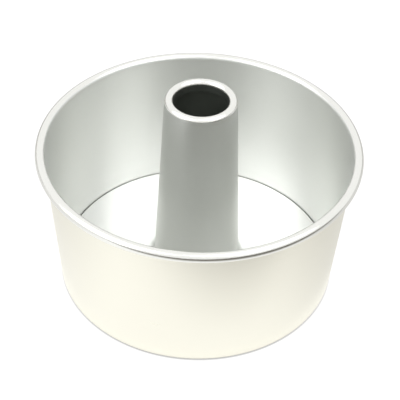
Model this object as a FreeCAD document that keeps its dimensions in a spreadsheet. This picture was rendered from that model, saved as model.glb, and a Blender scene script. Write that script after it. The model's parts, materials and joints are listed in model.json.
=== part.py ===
import FreeCAD, Part
import math
import os

import Sketcher

# Tube cake pan with a loose base, in millimetres, +Z up.
# The origin lies on the table under the middle of the pan.
# Three pieces of soft aluminium sheet, each a profile spun about Z:
#   pan_shell    tapered wall, rolled rim at the top, hemmed ledge at the bottom
#   base_plate   loose disc on the ledge, with a sunk seat round the hole in its middle
#   centre_tube  tapered tube whose foot flares out to a flange, flush in the plate's seat

SIZES = {
    # shell
    "shell_top_diameter": 170.0,  # inside, where the wall meets the rolled rim
    "shell_base_diameter": 159.0,  # inside, where the wall meets the bottom bend
    "shell_height": 88.5,  # table to the top of the rim
    "shell_sheet": 1.0,  # sheet thickness
    "shell_corner_bend": 1.0,  # inside radius of the bottom bend
    "rim_roll_bore": 3.6,  # hollow inside the rolled rim
    "rim_tail_gap": 0.5,  # end of the roll to the wall
    "ledge_width": 8.0,  # how far the ledge reaches in from the wall
    "hem_setback": 2.5,  # cut edge of the hem to the wall
    # base plate
    "plate_sheet": 1.0,  # sheet thickness
    "plate_clearance": 0.4,  # rim of the plate to the wall
    "plate_edge_round": 0.3,  # broken edges of the plate's rim
    "seat_width": 4.0,  # how much of the flange lies on the sunk seat
    "seat_clearance": 0.1,  # edge of the flange to the step of the seat
    # centre tube
    "tube_height": 119.0,  # table to the top of the mouth
    "tube_foot_diameter": 50.2,  # outside, level with the top of the plate
    "tube_top_diameter": 39.4,  # outside, level with the top of the mouth
    "tube_sheet": 1.0,  # sheet thickness
    "mouth_bore_diameter": 30.0,  # clear opening of the rolled mouth
    "mouth_lip_length": 4.0,  # straight lip below the mouth's roll
    "foot_bend": 5.0,  # outside radius of the flared foot
    "flange_width": 5.0,  # flat flange past the flare
}

# The hem folds the sheet back on itself, so the ledge is two layers thick
HEM_LAYERS = 2

# Heights and radii worked out from the sheet of sizes
LEDGE_TOP = f"{HEM_LAYERS} * sizes.shell_sheet"
PLATE_TOP = f"{LEDGE_TOP} + sizes.plate_sheet"
SEAT_TOP = f"{PLATE_TOP} - sizes.tube_sheet"
SEAT_UNDER = f"{SEAT_TOP} - sizes.plate_sheet"
TOP_RADIUS = "sizes.shell_top_diameter / 2"
BASE_RADIUS = "sizes.shell_base_diameter / 2"
HEM_RADIUS = f"{BASE_RADIUS} - sizes.hem_setback"
FOLD_RADIUS = f"{BASE_RADIUS} - sizes.ledge_width + sizes.shell_sheet"
PLATE_RADIUS = f"{BASE_RADIUS} - sizes.plate_clearance"
RIM_BORE = "sizes.rim_roll_bore / 2"
RIM_SKIN = f"{RIM_BORE} + sizes.shell_sheet"
RIM_MIDDLE = f"sizes.shell_height - ({RIM_SKIN})"
TUBE_FOOT_RADIUS = "sizes.tube_foot_diameter / 2"
TUBE_TOP_RADIUS = "sizes.tube_top_diameter / 2"
MOUTH_RADIUS = "sizes.mouth_bore_diameter / 2"
LIP_BACK_RADIUS = f"{MOUTH_RADIUS} + sizes.tube_sheet"
TUBE_LEAN = f"atan(({TUBE_FOOT_RADIUS} - {TUBE_TOP_RADIUS}) / (sizes.tube_height - ({PLATE_TOP})))"
FLARE_RADIUS = f"{TUBE_FOOT_RADIUS} + sizes.foot_bend * (1 / cos({TUBE_LEAN}) - tan({TUBE_LEAN}))"
FLARE_BELOW = "sizes.foot_bend + sizes.tube_sheet"
FLANGE_RADIUS = f"{FLARE_RADIUS} + sizes.flange_width"
SEAT_RADIUS = f"{FLANGE_RADIUS} + sizes.seat_clearance"
SEAT_BACK_RADIUS = f"{SEAT_RADIUS} + sizes.plate_sheet"
HOLE_RADIUS = f"{FLANGE_RADIUS} - sizes.seat_width"

FULL_TURN_DEGREES = 360.0
HALF_TURN = math.pi
QUARTER_TURN = HALF_TURN / 2

# The points of a line or an arc and the two axes, counted as a sketch counts them
START, END, CENTRE = range(1, 4)
TABLE_LINE, SPIN_AXIS = range(-1, -3, -1)
ORIGIN = (TABLE_LINE, START)
SKETCH_NORMAL = FreeCAD.Vector(0, 0, 1)

doc = FreeCAD.newDocument("tube_cake_pan")


def fill_sheet():
    """Write the driving dimensions into the sheet, one row each, with an alias."""
    sheet = doc.addObject("Spreadsheet::Sheet", "sizes")
    for row, (alias, length) in enumerate(SIZES.items(), start=1):
        sheet.set(f"A{row}", alias)
        sheet.set(f"B{row}", str(length))
        sheet.setAlias(f"B{row}", alias)
    doc.recompute()
    return sheet


class Profile:
    """A closed outline in the XZ plane, in a body of its own, to be spun about Z.

    Lines and arcs are first drawn near their places, and the constraints then settle them.
    """

    def __init__(self, label):
        self.body = doc.addObject("PartDesign::Body", label)
        self.body.Label = label
        self.body.Placement = FreeCAD.Placement()
        self.sketch = self.body.newObject("Sketcher::SketchObject", f"{label}_profile")
        planes = self.body.Origin.OriginFeatures
        upright = next(plane for plane in planes if plane.Role == "XZ_Plane")
        self.sketch.AttachmentSupport = [(upright, "")]
        self.sketch.MapMode = "FlatFace"

    def length(self, expression):
        """Work out a length from the sheet of sizes."""
        return float(self.sketch.evalExpression(expression))

    def line(self, start, end, guide=False):
        """Draw a straight stretch from start to end; a guide only steers the others."""
        segment = Part.LineSegment(FreeCAD.Vector(*start), FreeCAD.Vector(*end))
        return self.sketch.addGeometry(segment, guide)

    def arc(self, centre, radius, first, last):
        """Draw a round stretch, anticlockwise from the first angle to the last."""
        circle = Part.Circle(FreeCAD.Vector(*centre), SKETCH_NORMAL, radius)
        return self.sketch.addGeometry(Part.ArcOfCircle(circle, first, last), False)

    def rule(self, kind, *where):
        """Add a constraint without a size."""
        self.sketch.addConstraint(Sketcher.Constraint(kind, *where))

    def size(self, name, kind, where, expression):
        """Add a named constraint whose size follows the sheet of sizes."""
        index = self.sketch.addConstraint(Sketcher.Constraint(kind, *where, self.length(expression)))
        self.sketch.renameConstraint(index, name)
        self.sketch.setExpression(f"Constraints.{name}", expression)

    def smooth(self, *joints):
        """Join pairs of ends so that the outline runs on without a corner."""
        for joint in joints:
            self.rule("Tangent", *joint)

    def corner(self, *joints):
        """Join pairs of points without a common direction."""
        for joint in joints:
            self.rule("Coincident", *joint)

    def level(self, *lines):
        """Keep lines horizontal."""
        for line in lines:
            self.rule("Horizontal", line)

    def upright(self, *lines):
        """Keep lines vertical."""
        for line in lines:
            self.rule("Vertical", line)

    def across(self, name, piece, end, expression):
        """Set a point's distance from the spin axis."""
        self.size(name, "DistanceX", (*ORIGIN, piece, end), expression)

    def above(self, name, piece, end, expression):
        """Set a point's height over the table."""
        self.size(name, "DistanceY", (*ORIGIN, piece, end), expression)

    def radius(self, name, bend, expression):
        """Set the radius of an arc."""
        self.size(name, "Radius", (bend,), expression)

    def spin(self):
        """Spin the outline into a solid of revolution."""
        solid = self.body.newObject("PartDesign::Revolution", f"{self.body.Name}_spin")
        solid.Profile = self.sketch
        solid.ReferenceAxis = (self.sketch, ["V_Axis"])
        solid.Angle = FULL_TURN_DEGREES
        self.body.Tip = solid
        return self.body


def point_at(centre, radius, angle):
    """Return the point of a circle at an angle."""
    return (centre[0] + radius * math.cos(angle), centre[1] + radius * math.sin(angle))


def make_shell():
    """Tapered wall with a hollow rolled rim above and a hemmed ledge turned in below."""
    shell = Profile("pan_shell")
    sheet = sizes.shell_sheet
    bend = sizes.shell_corner_bend
    bore = shell.length(RIM_BORE)
    skin = shell.length(RIM_SKIN)
    top = shell.length(TOP_RADIUS)
    base = shell.length(BASE_RADIUS)
    fold = shell.length(FOLD_RADIUS)
    hem = shell.length(HEM_RADIUS)
    ledge = shell.length(LEDGE_TOP)
    rim = (top + skin, shell.length(RIM_MIDDLE))
    turn = (base - bend, sheet + bend)
    tail_angle = -math.acos((sizes.rim_tail_gap - bore) / skin)

    roll_skin = shell.arc(rim, skin, tail_angle, HALF_TURN)
    inner_wall = shell.line((top, rim[1]), (base, turn[1]))
    inner_bend = shell.arc(turn, bend, -QUARTER_TURN, 0)
    ledge_floor = shell.line((turn[0], sheet), (hem, sheet))
    hem_edge = shell.line((hem, sheet), (hem, ledge))
    ledge_seat = shell.line((hem, ledge), (fold, ledge))
    hem_fold = shell.arc((fold, sheet), sheet, QUARTER_TURN, HALF_TURN + QUARTER_TURN)
    foot = shell.line((fold, 0), (turn[0], 0))
    outer_bend = shell.arc(turn, bend + sheet, -QUARTER_TURN, 0)
    outer_wall = shell.line((base + sheet, turn[1]), (top + sheet, rim[1]))
    roll_bore = shell.arc(rim, bore, tail_angle, HALF_TURN)
    tail = shell.line(point_at(rim, skin, tail_angle), point_at(rim, bore, tail_angle))

    shell.smooth(
        (roll_skin, END, inner_wall, START),
        (inner_wall, END, inner_bend, END),
        (inner_bend, START, ledge_floor, START),
        (ledge_seat, END, hem_fold, START),
        (hem_fold, END, foot, START),
        (foot, END, outer_bend, START),
        (outer_bend, END, outer_wall, START),
        (outer_wall, END, roll_bore, END),
    )
    shell.corner(
        (ledge_floor, END, hem_edge, START),
        (hem_edge, END, ledge_seat, START),
        (roll_bore, START, tail, END),
        (tail, START, roll_skin, START),
        (roll_skin, CENTRE, roll_bore, CENTRE),
        (inner_bend, CENTRE, outer_bend, CENTRE),
    )
    shell.level(ledge_floor, ledge_seat, foot)
    shell.upright(hem_edge)
    shell.rule("PointOnObject", foot, START, TABLE_LINE)
    shell.rule("PointOnObject", roll_skin, CENTRE, tail)

    shell.radius("roll_outside", roll_skin, RIM_SKIN)
    shell.radius("roll_inside", roll_bore, RIM_BORE)
    shell.radius("bend_inside", inner_bend, "sizes.shell_corner_bend")
    shell.radius("bend_outside", outer_bend, "sizes.shell_corner_bend + sizes.shell_sheet")
    shell.radius("fold_round", hem_fold, "sizes.shell_sheet")
    shell.across("top_radius", roll_skin, END, TOP_RADIUS)
    shell.across("base_radius", inner_bend, END, BASE_RADIUS)
    shell.across("fold_radius", hem_fold, CENTRE, FOLD_RADIUS)
    shell.across("hem_radius", hem_edge, START, HEM_RADIUS)
    shell.above("roll_height", roll_skin, CENTRE, RIM_MIDDLE)
    shell.size("tail_gap", "Distance", (roll_skin, START, outer_wall), "sizes.rim_tail_gap")
    return shell.spin()


def make_plate():
    """Flat loose disc with rounded edges and a sunk seat round the hole in its middle."""
    plate = Profile("base_plate")
    edge_round = sizes.plate_edge_round
    under = plate.length(LEDGE_TOP)
    top = plate.length(PLATE_TOP)
    seat = plate.length(SEAT_TOP)
    seat_below = plate.length(SEAT_UNDER)
    rim = plate.length(PLATE_RADIUS)
    step = plate.length(SEAT_RADIUS)
    step_back = plate.length(SEAT_BACK_RADIUS)
    hole = plate.length(HOLE_RADIUS)

    top_face = plate.line((rim - edge_round, top), (step, top))
    step_face = plate.line((step, top), (step, seat))
    seat_face = plate.line((step, seat), (hole, seat))
    hole_edge = plate.line((hole, seat), (hole, seat_below))
    seat_under = plate.line((hole, seat_below), (step_back, seat_below))
    step_under = plate.line((step_back, seat_below), (step_back, under))
    under_face = plate.line((step_back, under), (rim - edge_round, under))
    lower_round = plate.arc((rim - edge_round, under + edge_round), edge_round, -QUARTER_TURN, 0)
    edge = plate.line((rim, under + edge_round), (rim, top - edge_round))
    upper_round = plate.arc((rim - edge_round, top - edge_round), edge_round, 0, QUARTER_TURN)

    plate.smooth(
        (under_face, END, lower_round, START),
        (lower_round, END, edge, START),
        (edge, END, upper_round, START),
        (upper_round, END, top_face, START),
    )
    plate.corner(
        (top_face, END, step_face, START),
        (step_face, END, seat_face, START),
        (seat_face, END, hole_edge, START),
        (hole_edge, END, seat_under, START),
        (seat_under, END, step_under, START),
        (step_under, END, under_face, START),
    )
    plate.level(top_face, seat_face, seat_under, under_face)
    plate.upright(step_face, hole_edge, step_under, edge)

    plate.radius("edge_round_below", lower_round, "sizes.plate_edge_round")
    plate.radius("edge_round_above", upper_round, "sizes.plate_edge_round")
    plate.above("plate_top", top_face, END, PLATE_TOP)
    plate.above("plate_under", under_face, START, LEDGE_TOP)
    plate.above("seat_top", seat_face, START, SEAT_TOP)
    plate.above("seat_under", seat_under, START, SEAT_UNDER)
    plate.across("plate_radius", edge, START, PLATE_RADIUS)
    plate.across("seat_radius", seat_face, START, SEAT_RADIUS)
    plate.across("seat_back_radius", seat_under, END, SEAT_BACK_RADIUS)
    plate.across("hole_radius", seat_face, END, HOLE_RADIUS)
    return plate.spin()


def make_tube():
    """Tapered tube with its mouth rolled in to a straight lip and its foot flared to a flange."""
    tube = Profile("centre_tube")
    sheet = sizes.tube_sheet
    bend = sizes.foot_bend
    foot = tube.length(TUBE_FOOT_RADIUS)
    floor = tube.length(PLATE_TOP)
    seat = tube.length(SEAT_TOP)
    turn = (tube.length(FLARE_RADIUS), floor + bend)
    flange = tube.length(FLANGE_RADIUS)
    top = sizes.tube_height
    skin = tube.length(TUBE_TOP_RADIUS)
    bore = tube.length(MOUTH_RADIUS)
    lip_back_radius = tube.length(LIP_BACK_RADIUS)
    roll = (skin - bore) / 2
    mouth = (bore + roll, top - roll)
    lip_foot = mouth[1] - sizes.mouth_lip_length

    cone = tube.line((foot, floor), (skin, top), guide=True)
    crown = tube.line((0, top), (skin, top), guide=True)
    outside = tube.line((skin, mouth[1]), (turn[0] - bend, turn[1]))
    flare_above = tube.arc(turn, bend, HALF_TURN, HALF_TURN + QUARTER_TURN)
    flange_top = tube.line((turn[0], floor), (flange, floor))
    flange_edge = tube.line((flange, floor), (flange, seat))
    flange_under = tube.line((flange, seat), (turn[0], seat))
    flare_below = tube.arc(turn, bend + sheet, HALF_TURN, HALF_TURN + QUARTER_TURN)
    inside = tube.line((turn[0] - bend - sheet, turn[1]), (skin - sheet, mouth[1]))
    roll_inside = tube.arc(mouth, roll - sheet, 0, HALF_TURN)
    lip_back = tube.line((lip_back_radius, mouth[1]), (lip_back_radius, lip_foot))
    lip_end = tube.line((lip_back_radius, lip_foot), (bore, lip_foot))
    lip_bore = tube.line((bore, lip_foot), (bore, mouth[1]))
    roll_skin = tube.arc(mouth, roll, 0, HALF_TURN)

    tube.smooth(
        (outside, END, flare_above, START),
        (flare_above, END, flange_top, START),
        (flange_under, END, flare_below, END),
        (flare_below, START, inside, START),
        (inside, END, roll_inside, START),
        (roll_inside, END, lip_back, START),
        (lip_bore, END, roll_skin, END),
        (roll_skin, START, outside, START),
        (outside, cone),
        (crown, roll_skin),
    )
    tube.corner(
        (flange_top, END, flange_edge, START),
        (flange_edge, END, flange_under, START),
        (lip_back, END, lip_end, START),
        (lip_end, END, lip_bore, START),
        (flare_above, CENTRE, flare_below, CENTRE),
        (roll_skin, CENTRE, roll_inside, CENTRE),
        (crown, END, cone, END),
    )
    tube.level(crown, flange_top, flange_under, lip_end)
    tube.upright(flange_edge, lip_back, lip_bore)
    tube.rule("PointOnObject", crown, START, SPIN_AXIS)

    tube.across("cone_foot_radius", cone, START, TUBE_FOOT_RADIUS)
    tube.above("cone_foot_height", cone, START, PLATE_TOP)
    tube.across("cone_top_radius", cone, END, TUBE_TOP_RADIUS)
    tube.above("cone_top_height", cone, END, "sizes.tube_height")
    tube.radius("flare_bend_above", flare_above, "sizes.foot_bend")
    tube.radius("flare_bend_below", flare_below, FLARE_BELOW)
    tube.above("flange_height", flange_top, START, PLATE_TOP)
    tube.across("flange_radius", flange_edge, START, FLANGE_RADIUS)
    tube.across("mouth_radius", lip_bore, START, MOUTH_RADIUS)
    tube.across("lip_back_radius", lip_back, START, LIP_BACK_RADIUS)
    tube.size("lip_length", "DistanceY", (lip_bore, START, lip_bore, END), "sizes.mouth_lip_length")
    return tube.spin()


def check_document(bodies):
    """Stop if any object failed or any piece has no valid solid."""
    for item in doc.Objects:
        if "Invalid" in item.State or "Error" in item.State:
            raise RuntimeError(f"{item.Label} failed: {item.State}")
    for body in bodies:
        if body.Shape.isNull() or not body.Shape.isValid():
            raise RuntimeError(f"{body.Label} has no valid shape")


def write_parts(bodies):
    """Write each piece to a file named after it."""
    os.makedirs("parts", exist_ok=True)
    for body in bodies:
        body.Shape.exportStep(os.path.join("parts", f"{body.Label}.step"))
        print(f"{body.Label}: {body.Shape.Volume:.1f} mm3")


sizes = fill_sheet()
pieces = [make_shell(), make_plate(), make_tube()]
doc.recompute()
check_document(pieces)
write_parts(pieces)
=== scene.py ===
import json
import math

import bmesh
import bpy
from mathutils import Matrix, Vector


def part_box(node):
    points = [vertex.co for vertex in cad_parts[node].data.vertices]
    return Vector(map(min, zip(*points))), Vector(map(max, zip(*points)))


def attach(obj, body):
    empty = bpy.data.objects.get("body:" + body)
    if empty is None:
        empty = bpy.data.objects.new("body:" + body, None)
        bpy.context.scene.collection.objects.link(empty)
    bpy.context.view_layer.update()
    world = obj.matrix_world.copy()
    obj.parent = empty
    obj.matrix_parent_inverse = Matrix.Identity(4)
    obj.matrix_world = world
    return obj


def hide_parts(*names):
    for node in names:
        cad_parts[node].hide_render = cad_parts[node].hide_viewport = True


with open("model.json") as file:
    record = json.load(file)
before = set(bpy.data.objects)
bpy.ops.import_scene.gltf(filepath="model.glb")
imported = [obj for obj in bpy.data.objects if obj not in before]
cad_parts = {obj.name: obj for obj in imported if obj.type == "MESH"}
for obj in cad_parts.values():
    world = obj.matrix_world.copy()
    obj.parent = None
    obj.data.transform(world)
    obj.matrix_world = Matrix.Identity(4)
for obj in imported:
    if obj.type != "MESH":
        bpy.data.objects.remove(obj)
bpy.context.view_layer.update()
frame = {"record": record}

# Tube cake pan of satin aluminium sheet: a rolled shell, a loose base plate and a centre tube.
# Every piece is a sheet section drawn in the XZ plane and spun about Z, in metres.

MM = 0.001
FULL_TURN = 2 * math.pi
HALF_TURN = math.pi
QUARTER_TURN = math.pi / 2

# Where the solids lie, and the sizes of the places where the pan meets other things
shell_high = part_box("pan_shell")[1]
plate_low, plate_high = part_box("base_plate")
tube_low, tube_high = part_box("centre_tube")
mounts = {mount["name"]: mount["dims"] for mount in frame["record"]["mounts"]}

# Shell
SHEET = 1.0 * MM
WALL_TOP_RADIUS = 85.0 * MM
WALL_BASE_RADIUS = 79.5 * MM
CORNER_BEND = 1.0 * MM
ROLL_BORE = 1.8 * MM
ROLL_SKIN = ROLL_BORE + SHEET
ROLL_TAIL_GAP = 0.5 * MM
LEDGE_WIDTH = 8.0 * MM
HEM_SETBACK = 2.5 * MM

# Base plate
PLATE_EDGE_ROUND = 0.3 * MM
SEAT_WIDTH = 4.0 * MM
SEAT_CLEARANCE = 0.02 * MM

# Centre tube
TUBE_FOOT_RADIUS = 25.1 * MM
TUBE_TOP_RADIUS = 19.7 * MM
FOOT_BEND = 5.0 * MM
MOUTH_RADIUS = mounts["tube_mouth"]["r_mm"] * MM
MOUTH_LIP = mounts["tube_mouth"]["length_mm"] * MM

# The rolled edges are burnished, and painted paler as a highlight, from their outer side over the top to
# where the satin starts
ROLL_SATIN_ANGLE = math.radians(135)
MOUTH_SATIN_ANGLE = math.radians(15)

# How finely the sections are drawn and spun
SPIN_STEPS = 240
BEND_STEP = math.radians(6)
RUN_STEP = 4.0 * MM
CUT_EDGE_ANGLE = math.radians(50)
CUT_EDGE_ROUND = 0.03 * MM
CUT_EDGE_STEPS = 2
CREASE_ANGLE = math.radians(15)
WELD = 0.001 * MM


def around(centre, radius, angle):
    """Return the point of a circle at an angle, anticlockwise from the outward direction."""
    return (centre[0] + radius * math.cos(angle), centre[1] + radius * math.sin(angle))


def add_object(name, data):
    """Put an object into the scene."""
    thing = bpy.data.objects.new(name, data)
    bpy.context.scene.collection.objects.link(thing)
    return thing


class Skin:
    """A stretch of a sheet's outline with one finish: a line of (radius, height) points, spun about Z."""

    def __init__(self, start, finish):
        self.mesh = bmesh.new()
        self.tip = self.mesh.verts.new((start[0], 0, start[1]))
        self.finish = finish

    def run(self, *points):
        """Go straight to each point in turn."""
        for radius, height in points:
            target = Vector((radius, 0, height))
            start = self.tip.co.copy()
            steps = math.ceil((target - start).length / RUN_STEP)
            for step in range(1, steps + 1):
                grown = bmesh.ops.extrude_vert_indiv(self.mesh, verts=[self.tip])
                self.tip = grown["verts"][0]
                self.tip.co = start.lerp(target, step / steps)

    def bend(self, centre, angle):
        """Go round a centre, anticlockwise for a positive angle."""
        grown = bmesh.ops.spin(
            self.mesh,
            geom=[self.tip],
            cent=(centre[0], 0, centre[1]),
            axis=(0, -1, 0),
            angle=angle,
            steps=math.ceil(abs(angle) / BEND_STEP),
        )
        self.tip = next(item for item in grown["geom_last"] if isinstance(item, bmesh.types.BMVert))

    def spin(self, finish_index):
        """Sweep the line right round Z and give the faces their finish."""
        bmesh.ops.spin(
            self.mesh,
            geom=list(self.mesh.verts) + list(self.mesh.edges),
            cent=(0, 0, 0),
            axis=(0, 0, 1),
            angle=FULL_TURN,
            steps=SPIN_STEPS,
            use_merge=True,
        )
        for face in self.mesh.faces:
            face.material_index = finish_index


def make_piece(name, skins):
    """Join the skins of a sheet end to end, round its cut edges and make the piece."""
    mesh = bpy.data.meshes.new(name)
    whole = bmesh.new()
    for finish_index, skin in enumerate(skins):
        skin.spin(finish_index)
        skin.mesh.to_mesh(mesh)
        skin.mesh.free()
        whole.from_mesh(mesh)
    bmesh.ops.remove_doubles(whole, verts=whole.verts, dist=WELD)
    bmesh.ops.recalc_face_normals(whole, faces=whole.faces)
    cut_edges = [edge for edge in whole.edges if edge.calc_face_angle(0) > CUT_EDGE_ANGLE]
    bmesh.ops.bevel(
        whole,
        geom=cut_edges,
        offset=CUT_EDGE_ROUND,
        segments=CUT_EDGE_STEPS,
        profile=0.5,
        affect="EDGES",
        material=-1,
    )
    whole.to_mesh(mesh)
    whole.free()
    mesh.shade_smooth()
    mesh.set_sharp_from_angle(angle=CREASE_ANGLE)
    for skin in skins:
        mesh.materials.append(skin.finish)
    return add_object(name, mesh)


def make_shell(edge_finish, inside_finish, outside_finish):
    """Tapered wall with a hollow rolled rim above and a hemmed ledge turned in below."""
    rim = (shell_high.x - ROLL_SKIN, shell_high.z - ROLL_SKIN)
    turn_height = SHEET + CORNER_BEND
    lean = math.atan((WALL_TOP_RADIUS - WALL_BASE_RADIUS) / (rim[1] - turn_height))
    turn = (WALL_BASE_RADIUS - CORNER_BEND * math.cos(lean), turn_height)
    tail_angle = -lean - math.acos((ROLL_TAIL_GAP - ROLL_BORE) / ROLL_SKIN)
    wall_angle = HALF_TURN - lean
    fold = (WALL_BASE_RADIUS - LEDGE_WIDTH + SHEET, SHEET)
    hem = WALL_BASE_RADIUS - HEM_SETBACK
    ledge_top = SHEET + SHEET
    tail = around(rim, ROLL_SKIN, tail_angle)

    roll = Skin(tail, edge_finish)
    roll.bend(rim, ROLL_SATIN_ANGLE - tail_angle)

    inside = Skin(around(rim, ROLL_SKIN, ROLL_SATIN_ANGLE), inside_finish)
    inside.bend(rim, wall_angle - ROLL_SATIN_ANGLE)
    inside.run(around(turn, CORNER_BEND, -lean))
    inside.bend(turn, lean - QUARTER_TURN)
    inside.run((hem, SHEET))

    outside = Skin((hem, SHEET), outside_finish)
    outside.run((hem, ledge_top), (fold[0], ledge_top))
    outside.bend(fold, HALF_TURN)
    outside.run((turn[0], 0))
    outside.bend(turn, QUARTER_TURN - lean)
    outside.run(around(rim, ROLL_BORE, wall_angle))
    outside.bend(rim, tail_angle - wall_angle)
    outside.run(tail)

    shell = make_piece("rolled_shell", [roll, inside, outside])
    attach(shell, "shell")
    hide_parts("pan_shell")


def make_plate(top_finish, under_finish):
    """Loose disc with rounded edges and a sunk seat round the hole in its middle."""
    rim = plate_high.x - PLATE_EDGE_ROUND
    top = plate_high.z
    under = top - SHEET
    seat_top = plate_low.z + SHEET
    seat_edge = tube_high.x + SEAT_CLEARANCE
    seat_back = seat_edge + SHEET
    hole = tube_high.x - SEAT_WIDTH

    upper = Skin((rim, top), top_finish)
    upper.run((seat_edge, top), (seat_edge, seat_top), (hole, seat_top), (hole, plate_low.z))

    lower = Skin((hole, plate_low.z), under_finish)
    lower.run((seat_back, plate_low.z), (seat_back, under), (rim, under))
    lower.bend((rim, under + PLATE_EDGE_ROUND), QUARTER_TURN)
    lower.run((plate_high.x, top - PLATE_EDGE_ROUND))
    lower.bend((rim, top - PLATE_EDGE_ROUND), QUARTER_TURN)

    plate = make_piece("loose_base", [upper, lower])
    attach(plate, "insert")
    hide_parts("base_plate")


def make_tube(edge_finish, outside_finish, flange_finish, bore_finish, lip_finish):
    """Tapered tube with its mouth rolled in to a straight lip and its foot flared to a flange."""
    floor = plate_high.z
    flange = tube_high.x
    lean = math.atan((TUBE_FOOT_RADIUS - TUBE_TOP_RADIUS) / (tube_high.z - floor))
    slant = 1 / math.cos(lean) - math.tan(lean)
    turn = (TUBE_FOOT_RADIUS + FOOT_BEND * slant, floor + FOOT_BEND)
    roll = (TUBE_TOP_RADIUS - MOUTH_RADIUS) / (1 + slant)
    mouth = (MOUTH_RADIUS + roll, tube_high.z - roll)
    lip_foot = mouth[1] - MOUTH_LIP
    lip_back = MOUTH_RADIUS + SHEET

    edge = Skin((MOUTH_RADIUS, mouth[1]), edge_finish)
    edge.bend(mouth, MOUTH_SATIN_ANGLE - HALF_TURN)

    outside = Skin(around(mouth, roll, MOUTH_SATIN_ANGLE), outside_finish)
    outside.bend(mouth, lean - MOUTH_SATIN_ANGLE)
    outside.run(around(turn, FOOT_BEND, HALF_TURN + lean))
    outside.bend(turn, QUARTER_TURN - lean)

    flange_top = Skin((turn[0], floor), flange_finish)
    flange_top.run((flange, floor), (flange, tube_low.z))

    inside = Skin((flange, tube_low.z), bore_finish)
    inside.run((turn[0], tube_low.z))
    inside.bend(turn, lean - QUARTER_TURN)
    inside.run(around(mouth, roll - SHEET, lean))
    inside.bend(mouth, HALF_TURN - lean)
    inside.run((lip_back, lip_foot))

    lip = Skin((lip_back, lip_foot), lip_finish)
    lip.run((MOUTH_RADIUS, lip_foot), (MOUTH_RADIUS, mouth[1]))

    tube = make_piece("flared_tube", [edge, outside, flange_top, inside, lip])
    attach(tube, "insert")
    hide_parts("centre_tube")


# Finishes

WHITE = (1, 1, 1)
METAL_SHARE = 0.92
LINES_PER_METRE = 900.0
LINE_LAYERS = 4.0
LINE_GRIT_SHARE = 0.7
LINE_DRIFT_SHARE = 0.004
LINE_DEPTH = 0.02 * MM
LINE_RELIEF_SHARE = 0.25
LINE_TONE_SHARE = 0.35
CLOUDS_PER_METRE = 22.0
CLOUD_LAYERS = 4.0
CLOUD_GRIT_SHARE = 0.55
SPUN_STRETCH_SHARE = 0.7
WALL_STRETCH_SHARE = 0.5
SPUN_TURN_SHARE = 0.25

# The tube has painted shade that thins out between two heights, and painted light that makes its flare
# paler
PAINTED_SHADE_HEIGHTS = (5.0 * MM, 55.0 * MM)
PAINTED_SHADE_TONE = (0.79, 0.79, 0.78)
FLARE_PAINTED_LIGHT_TONE = (1.25, 1.25, 1.27)


def set_inputs(node, **values):
    """Set a node's inputs by name."""
    for name, value in values.items():
        node.inputs[name.replace("_", " ")].default_value = value


def add_node(tree, kind, **values):
    """Add a node and set its named inputs."""
    node = tree.nodes.new(kind)
    set_inputs(node, **values)
    return node


def add_math(tree, operation, first, second=0):
    """Add a math node whose inputs are sockets or numbers, and return its result."""
    node = tree.nodes.new("ShaderNodeMath")
    node.operation = operation
    for socket, value in zip(node.inputs, (first, second)):
        if isinstance(value, bpy.types.NodeSocket):
            tree.links.new(value, socket)
        else:
            socket.default_value = value
    return node.outputs["Value"]


def add_mix(tree, factor, first, second):
    """Add a mix of two colours, given or from sockets, by a factor and return its result."""
    mix = tree.nodes.new("ShaderNodeMix")
    mix.data_type = "RGBA"
    for name, colour in (("A", first), ("B", second)):
        if isinstance(colour, bpy.types.NodeSocket):
            tree.links.new(colour, mix.inputs[name])
        else:
            mix.inputs[name].default_value = (*colour, 1)
    tree.links.new(factor, mix.inputs["Factor"])
    return mix.outputs["Result"]


def add_span(tree, share, start, end):
    """Return an even change from the start to the end as a share goes from 0 to 1."""
    span = add_node(tree, "ShaderNodeMapRange", To_Min=start, To_Max=end)
    tree.links.new(share, span.inputs["Value"])
    return span.outputs["Result"]


def add_ramp(tree, value, low, high, start=0, end=1):
    """Return a smooth change from the start to the end as a value goes from low to high."""
    ramp = add_node(tree, "ShaderNodeMapRange", From_Min=low, From_Max=high, To_Min=start, To_Max=end)
    ramp.interpolation_type = "SMOOTHSTEP"
    tree.links.new(value, ramp.inputs["Value"])
    return ramp.outputs["Result"]


def object_place(tree):
    """Return the three coordinates of the place on the object, by the names of the axes."""
    place = add_node(tree, "ShaderNodeTexCoord").outputs["Object"]
    parts = add_node(tree, "ShaderNodeSeparateXYZ")
    tree.links.new(place, parts.inputs["Vector"])
    return parts.outputs


def axis_distance(tree, place):
    """Return a place's distance from the Z axis."""
    squares = [add_math(tree, "MULTIPLY", place[axis], place[axis]) for axis in "XY"]
    return add_math(tree, "SQRT", add_math(tree, "ADD", *squares))


def new_group(name, result):
    """Start a shader node group with a fineness and a named result, and return it with its two ends."""
    group = bpy.data.node_groups.new(name, "ShaderNodeTree")
    group.interface.new_socket("Fineness", in_out="INPUT", socket_type="NodeSocketFloat")
    group.interface.new_socket(result, in_out="OUTPUT", socket_type="NodeSocketFloat")
    return group, group.nodes.new("NodeGroupInput"), group.nodes.new("NodeGroupOutput")


def spun_lines_group():
    """Fine rings left by spinning: they follow the section and run on round the piece."""
    group, given, result = new_group("spun_lines", "Line")
    place = object_place(group)
    radius = axis_distance(group, place)
    drift = add_math(group, "MULTIPLY", place["X"], LINE_DRIFT_SHARE)
    section = add_node(group, "ShaderNodeCombineXYZ")
    for socket, value in zip(section.inputs, (radius, drift, place["Z"])):
        group.links.new(value, socket)
    lines = add_node(group, "ShaderNodeTexNoise", Detail=LINE_LAYERS, Roughness=LINE_GRIT_SHARE)
    group.links.new(given.outputs["Fineness"], lines.inputs["Scale"])
    group.links.new(section.outputs["Vector"], lines.inputs["Vector"])
    group.links.new(lines.outputs["Fac"], result.inputs["Line"])
    return group


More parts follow.
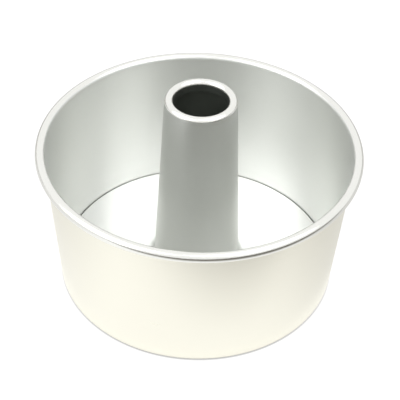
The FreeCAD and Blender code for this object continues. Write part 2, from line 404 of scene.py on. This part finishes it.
def soft_cloud_group():
    """Faint cloudy film of handling and washing."""
    group, given, result = new_group("soft_cloud", "Cloud")
    place = add_node(group, "ShaderNodeTexCoord").outputs["Object"]
    cloud = add_node(group, "ShaderNodeTexNoise", Detail=CLOUD_LAYERS, Roughness=CLOUD_GRIT_SHARE)
    group.links.new(given.outputs["Fineness"], cloud.inputs["Scale"])
    group.links.new(place, cloud.inputs["Vector"])
    group.links.new(cloud.outputs["Fac"], result.inputs["Cloud"])
    return group


def add_group(tree, group, fineness):
    """Place a shared group in a material with its own fineness and return its output."""
    node = tree.nodes.new("ShaderNodeGroup")
    node.node_tree = group
    set_inputs(node, Fineness=fineness)
    return node.outputs[0]


def new_material(name, **values):
    """Start a material, set its shader's named inputs and return it with its nodes and its shader."""
    material = bpy.data.materials.new(name)
    material.use_nodes = True
    shader = material.node_tree.nodes["Principled BSDF"]
    set_inputs(shader, **values)
    return material, material.node_tree, shader


def stretch_reflections(tree, shader, stretch_share):
    """Stretch what the sheet mirrors across the spun lines, which run round the piece."""
    set_inputs(shader, Anisotropic=stretch_share, Anisotropic_Rotation=SPUN_TURN_SHARE)
    round_axis = tree.nodes.new("ShaderNodeTangent")
    round_axis.direction_type = "RADIAL"
    round_axis.axis = "Z"
    tree.links.new(round_axis.outputs["Tangent"], shader.inputs["Tangent"])


def sheet_finish(name, dull, bright, roughness, stretch_share=SPUN_STRETCH_SHARE):
    """Aluminium whose tone, gloss and surface follow the spun lines and the cloudy film."""
    material, tree, shader = new_material(name, Metallic=METAL_SHARE)
    stretch_reflections(tree, shader, stretch_share)

    line = add_group(tree, spun_lines, LINES_PER_METRE)
    cloud = add_group(tree, soft_cloud, CLOUDS_PER_METRE)
    line_tone = add_math(tree, "MULTIPLY", line, LINE_TONE_SHARE)
    cloud_tone = add_math(tree, "MULTIPLY", cloud, 1 - LINE_TONE_SHARE)
    tone = add_math(tree, "ADD", line_tone, cloud_tone)
    tree.links.new(add_mix(tree, tone, dull, bright), shader.inputs["Base Color"])
    tree.links.new(add_span(tree, tone, *roughness), shader.inputs["Roughness"])

    bump = add_node(tree, "ShaderNodeBump", Strength=LINE_RELIEF_SHARE, Distance=LINE_DEPTH)
    tree.links.new(line, bump.inputs["Height"])
    tree.links.new(bump.outputs["Normal"], shader.inputs["Normal"])
    return material


def satin_wall():
    """Inside of the shell and underside of the plate: neutral satin grey."""
    return sheet_finish(
        "satin_wall",
        dull=(0.81, 0.82, 0.795),
        bright=(0.85, 0.86, 0.835),
        roughness=(0.34, 0.41),
        stretch_share=WALL_STRETCH_SHARE,
    )


def satin_plate():
    """Top of the base plate and of the tube's flange: the palest satin."""
    return sheet_finish(
        "satin_plate",
        dull=(0.92, 0.93, 0.91),
        bright=(0.96, 0.97, 0.95),
        roughness=(0.32, 0.4),
    )


def satin_tube():
    """Outside of the tube: a slightly darker satin, with painted shade lower down and painted light on
    the flare.
    """
    material = sheet_finish(
        "satin_tube",
        dull=(0.68, 0.69, 0.665),
        bright=(0.74, 0.75, 0.725),
        roughness=(0.28, 0.34),
    )
    tree = material.node_tree
    colour = tree.nodes["Principled BSDF"].inputs["Base Color"]
    height = object_place(tree)["Z"]
    # Painted shade darkens the tube below the upper height, and painted light makes the flare paler; film
    # below is this painted shade.
    above_painted_shade = add_ramp(tree, height, *PAINTED_SHADE_HEIGHTS)
    above_flare = add_ramp(tree, height, plate_high.z, plate_high.z + FOOT_BEND)
    film = add_mix(tree, above_painted_shade, PAINTED_SHADE_TONE, WHITE)
    painted_shade_and_light = add_mix(tree, above_flare, FLARE_PAINTED_LIGHT_TONE, film)
    painted_tone = add_node(tree, "ShaderNodeVectorMath")
    painted_tone.operation = "MULTIPLY"
    tree.links.new(colour.links[0].from_socket, painted_tone.inputs[0])
    tree.links.new(painted_shade_and_light, painted_tone.inputs[1])
    tree.links.new(painted_tone.outputs["Vector"], colour)
    return material


def burnished_and_painted_highlight_edge():
    """Rolled edges, rubbed glossy and painted paler as a highlight."""
    return sheet_finish(
        "burnished_and_painted_highlight_edge",
        dull=(0.87, 0.87, 0.83),
        bright=(0.92, 0.92, 0.88),
        roughness=(0.16, 0.22),
    )


def painted_warm_outside():
    """Outside of the shell: satin with a painted warm light in its tint."""
    return sheet_finish(
        "painted_warm_outside",
        dull=(0.91, 0.89, 0.78),
        bright=(0.95, 0.93, 0.82),
        roughness=(0.25, 0.32),
    )


def painted_shade_bore():
    """Inside of the tube: sheet darkened with painted shade."""
    return sheet_finish(
        "painted_shade_bore",
        dull=(0.2, 0.22, 0.19),
        bright=(0.26, 0.28, 0.25),
        roughness=(0.36, 0.46),
    )


def painted_shade_lip():
    """Straight lip just inside the tube's mouth: the darkest sheet, darkened with painted shade."""
    return sheet_finish(
        "painted_shade_lip",
        dull=(0.09, 0.1, 0.085),
        bright=(0.13, 0.14, 0.125),
        roughness=(0.4, 0.5),
    )


# Floor, light and camera, in metres and watts

FLOOR_RADIUS = 2.5
FLOOR_STEPS = 96
FLOOR_TONE = (0.3, 0.3, 0.3)
FLOOR_ROUGHNESS = 0.9
FLOOR_GLOW_SHARE = 0.85
SHADE_GLOW_SHARE = 0.35
SHADE_WIDTH = 2.0 * MM
ROOM_LIGHT_SHARE = 0.4
LEFT_LAMP_PLACE = Vector((-0.99, -0.4, 1.19))
LEFT_LAMP_SIZE = 1.4
LEFT_LAMP_WATTS = 10.8
RIGHT_LAMP_PLACE = Vector((0.61, -0.34, 1.44))
RIGHT_LAMP_SIZE = 1.2
RIGHT_LAMP_WATTS = 8.3
CAMERA_DISTANCE = 484.7 * MM
CAMERA_HEIGHT = 471.1 * MM
CAMERA_PITCH = math.radians(41.21)
CAMERA_YAW = math.radians(0.14)
CAMERA_ROLL = math.radians(1.92)
LENS_MM = 100.6
SENSOR_MM = 36.0

# The card that the pan mirrors: a shade deepens in a direction, from a distance out, to a share of dark
CARD_INNER_RADIUS = 0.086
CARD_OUTER_RADIUS = 1.2
CARD_LIFT = 0.0005
CARD_HEIGHT = 0.22
CARD_GLOW = 1.12
CARD_FADE = 0.15
CARD_DARK_TONE = (0.1, 0.09, 0.07)
FRONT_SHADE = ((0.4, -0.917), 0.087, 1.0)
RIGHT_SHADE = ((0.8, 0.6), -0.03, 0.36)
LEFT_SHADE = ((-0.8, 0.6), 0.0, 0.27)
BACK_SHADE = ((0.0, 1.0), 0.09, 0.7)


def background_mask(tree):
    """Return 1 for what the camera sees, straight, mirrored or through glass, and 0 for the rest."""
    path = tree.nodes.new("ShaderNodeLightPath")
    seen = add_math(tree, "MAXIMUM", path.outputs["Is Camera Ray"], path.outputs["Is Glossy Ray"])
    return add_math(tree, "MAXIMUM", seen, path.outputs["Is Transmission Ray"])


def make_world():
    """White surroundings, with a soft even light from them."""
    world = bpy.data.worlds.new("white_room")
    world.use_nodes = True
    tree = world.node_tree
    light = tree.nodes["Background"]
    set_inputs(light, Color=(*WHITE, 1))
    strength = add_span(tree, background_mask(tree), ROOM_LIGHT_SHARE, 1)
    tree.links.new(strength, light.inputs["Strength"])
    bpy.context.scene.world = world


def table_white():
    """Matt white that is shaded where the pan stands on it."""
    material, tree, shader = new_material(
        "white_table",
        Base_Color=(*FLOOR_TONE, 1),
        Roughness=FLOOR_ROUGHNESS,
        Specular_IOR_Level=0,
        Emission_Color=(*WHITE, 1),
    )
    radius = axis_distance(tree, object_place(tree))
    shade_edge = WALL_BASE_RADIUS + SHADE_WIDTH
    glow = add_ramp(tree, radius, WALL_BASE_RADIUS, shade_edge, SHADE_GLOW_SHARE, FLOOR_GLOW_SHARE)
    seen_glow = add_math(tree, "MULTIPLY", background_mask(tree), glow)
    tree.links.new(seen_glow, shader.inputs["Emission Strength"])
    return material


def make_floor():
    """White table that runs out of sight."""
    mesh = bpy.data.meshes.new("white_table")
    disc = bmesh.new()
    bmesh.ops.create_circle(disc, cap_ends=True, segments=FLOOR_STEPS, radius=FLOOR_RADIUS)
    disc.to_mesh(mesh)
    disc.free()
    mesh.materials.append(table_white())
    add_object("white_table", mesh)


def card_tone():
    """White that darkens outwards: most in front, less at the back, and least at the sides."""
    material, tree, shader = new_material(
        "card_tone",
        Base_Color=(0, 0, 0, 1),
        Specular_IOR_Level=0,
        Emission_Strength=CARD_GLOW,
    )
    place = object_place(tree)
    share = 0
    for direction, reach, depth_share in (FRONT_SHADE, RIGHT_SHADE, LEFT_SHADE, BACK_SHADE):
        rightward = add_math(tree, "MULTIPLY", place["X"], direction[0])
        backward = add_math(tree, "MULTIPLY", place["Y"], direction[1])
        distance = add_math(tree, "ADD", rightward, backward)
        shade = add_ramp(tree, distance, reach, reach + CARD_FADE, end=depth_share)
        share = add_math(tree, "MAXIMUM", share, shade)
    tree.links.new(add_mix(tree, share, WHITE, CARD_DARK_TONE), shader.inputs["Emission Color"])
    return material


def make_card():
    """Shaded card that rises round the pan and is seen only in what the pan mirrors."""
    mesh = bpy.data.meshes.new("dark_card")
    ring = bmesh.new()
    inner = ring.verts.new((CARD_INNER_RADIUS, 0, CARD_LIFT))
    outer = ring.verts.new((CARD_OUTER_RADIUS, 0, CARD_HEIGHT))
    side = ring.edges.new((inner, outer))
    bmesh.ops.spin(
        ring,
        geom=[inner, outer, side],
        cent=(0, 0, 0),
        axis=(0, 0, 1),
        angle=FULL_TURN,
        steps=FLOOR_STEPS,
        use_merge=True,
    )
    ring.to_mesh(mesh)
    ring.free()
    mesh.materials.append(card_tone())
    card = add_object("dark_card", mesh)
    card.visible_camera = False
    card.visible_diffuse = False
    card.visible_shadow = False


def make_lamp(name, place, size, watts):
    """Large soft lamp, aimed at the middle of the pan."""
    data = bpy.data.lights.new(name, "AREA")
    data.size = size
    data.energy = watts
    aim = Vector((0, 0, shell_high.z / 2))
    lamp = add_object(name, data)
    lamp.location = place
    lamp.rotation_euler = (aim - place).to_track_quat("-Z", "Y").to_euler()


def make_camera():
    """The photograph's view: from the front and well above, through a long lens."""
    data = bpy.data.cameras.new("front_view")
    data.lens = LENS_MM
    data.sensor_width = SENSOR_MM
    camera = add_object("front_view", data)
    camera.matrix_world = (
        Matrix.Translation((0, -CAMERA_DISTANCE, CAMERA_HEIGHT))
        @ Matrix.Rotation(-CAMERA_YAW, 4, "Z")
        @ Matrix.Rotation(QUARTER_TURN - CAMERA_PITCH, 4, "X")
        @ Matrix.Rotation(CAMERA_ROLL, 4, "Z")
    )
    bpy.context.scene.camera = camera


spun_lines = spun_lines_group()
soft_cloud = soft_cloud_group()

edge = burnished_and_painted_highlight_edge()
wall = satin_wall()
plate_top = satin_plate()
make_shell(edge, wall, painted_warm_outside())
make_plate(plate_top, wall)
make_tube(edge, satin_tube(), plate_top, painted_shade_bore(), painted_shade_lip())

make_world()
make_floor()
make_card()
make_lamp("left_softbox", LEFT_LAMP_PLACE, LEFT_LAMP_SIZE, LEFT_LAMP_WATTS)
make_lamp("right_softbox", RIGHT_LAMP_PLACE, RIGHT_LAMP_SIZE, RIGHT_LAMP_WATTS)
make_camera()
bpy.context.scene.view_settings.view_transform = "Standard"
